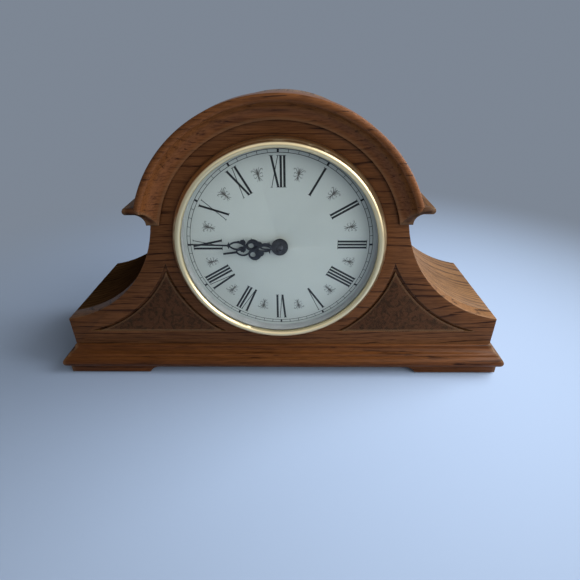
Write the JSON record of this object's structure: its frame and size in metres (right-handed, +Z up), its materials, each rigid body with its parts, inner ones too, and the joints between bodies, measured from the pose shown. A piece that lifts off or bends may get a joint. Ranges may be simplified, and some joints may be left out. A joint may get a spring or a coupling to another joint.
{
  "type": "mantel clock",
  "caption": "Arch-hooded oak mantel clock with hollow shoulders, stepped base, brass bezel, Roman dial, pierced hands, quartz movement and rear door.",
  "frame": {"origin": "middle of the clock's footprint, on the plane its felt pads stand on", "axes": "+X to the right seen from the front, +Y from the dial to the back, +Z up"},
  "size_m": [0.4784, 0.1624, 0.2823],
  "materials": {
    "oak": "satin lacquer",
    "plywood": "satin",
    "burl": "polished",
    "felt": "pressed felt",
    "brass": "polished",
    "dial_metal": "silvered, matt",
    "steel": "plated",
    "glass": "clear",
    "card_ring": "satin",
    "black_hands": "satin black",
    "black_plastic": "fine grain",
    "gear_plastic": "moulded",
    "laminate": "coated",
    "cell_jacket": "printed sleeve",
    "rubber": "matt",
    "cone_paper": "pressed pulp",
    "ferrite": "ground",
    "lead_plastic": "extruded"
  },
  "bodies": {
    "case": {"front_panel": "oak", "arch_moulding": "oak", "arched_shell": "oak", "left_shoulder": "oak", "right_shoulder": "oak", "left_end": "oak", "right_end": "oak", "left_impost_front": "oak", "right_impost_front": "oak", "left_impost_return": "oak", "right_impost_return": "oak", "front_base_moulding": "oak", "left_base_moulding": "oak", "right_base_moulding": "oak", "back_frame": "plywood", "rear_base_rail": "plywood", "base_board": "plywood", "corner_blocks": "plywood", "left_spandrel": "burl", "right_spandrel": "burl", "felt_pads": "felt", "bezel": "brass", "case_hinge_leaves": "brass", "hinge_pins": "brass", "mounting_nut": "brass", "dial_plate": "dial_metal", "dial_pan": "steel", "dial_clips": "steel", "battery_contacts": "steel", "speaker_frame": "steel", "glass": "glass", "sight_ring": "card_ring", "movement_case": "black_plastic", "movement_cover": "black_plastic", "magnet_catch": "black_plastic", "bearing_plate": "gear_plastic", "circuit_board": "laminate", "batteries": "cell_jacket", "rubber_washer": "rubber", "speaker_cone": "cone_paper", "speaker_magnet": "ferrite", "speaker_lead": "lead_plastic"},
    "minute": {"minute_arbor": "gear_plastic", "minute_hand": "black_hands", "hand_cap": "black_hands"},
    "hour": {"hour_wheel": "gear_plastic", "hour_hand": "black_hands"},
    "idler": {"minute_wheel": "gear_plastic"},
    "setting": {"set_arbor": "gear_plastic", "set_knob": "black_plastic"},
    "door": {"rear_door": "plywood", "door_knob": "brass", "door_hinge_leaves": "brass", "strike_plate": "steel"},
    "lid": {"battery_lid": "black_plastic"},
    "chime": {"chime_selector": "black_plastic"},
    "volume": {"volume_slide": "black_plastic"}
  },
  "joints": [
    {"name": "minute_turn", "type": "hinge", "parent": "case", "child": "minute", "pos_m": [0, -0.0655, 0.148], "axis": [0, 1, 0], "continuous": true},
    {"name": "hour_turn", "type": "hinge", "parent": "case", "child": "hour", "pos_m": [0, -0.0655, 0.148], "axis": [0, 1, 0], "continuous": true},
    {"name": "idler_turn", "type": "hinge", "parent": "case", "child": "idler", "pos_m": [-0.014, -0.05, 0.148], "axis": [0, 1, 0], "continuous": true},
    {"name": "setting_turn", "type": "hinge", "parent": "case", "child": "setting", "pos_m": [-0.00525, -0.02, 0.16315], "axis": [0, 1, 0], "continuous": true},
    {"name": "door_hinge", "type": "hinge", "parent": "case", "child": "door", "pos_m": [0.092, 0.07335, 0.1], "axis": [0, 0, -1], "range_deg": [0, 160]},
    {"name": "lid_slide", "type": "slide", "parent": "case", "child": "lid", "axis": [0, 0, -1], "range_m": [0, 0.034]},
    {"name": "chime_slide", "type": "slide", "parent": "case", "child": "chime", "axis": [1, 0, 0], "range_m": [0, 0.008]},
    {"name": "volume_slide", "type": "slide", "parent": "case", "child": "volume", "axis": [1, 0, 0], "range_m": [0, 0.008]}
  ],
  "couplings": [
    {"joint": "hour_turn", "follows": "minute_turn", "ratio": 0.083333},
    {"joint": "idler_turn", "follows": "minute_turn", "ratio": -0.33333},
    {"joint": "setting_turn", "follows": "minute_turn", "ratio": 0.5}
  ]
}
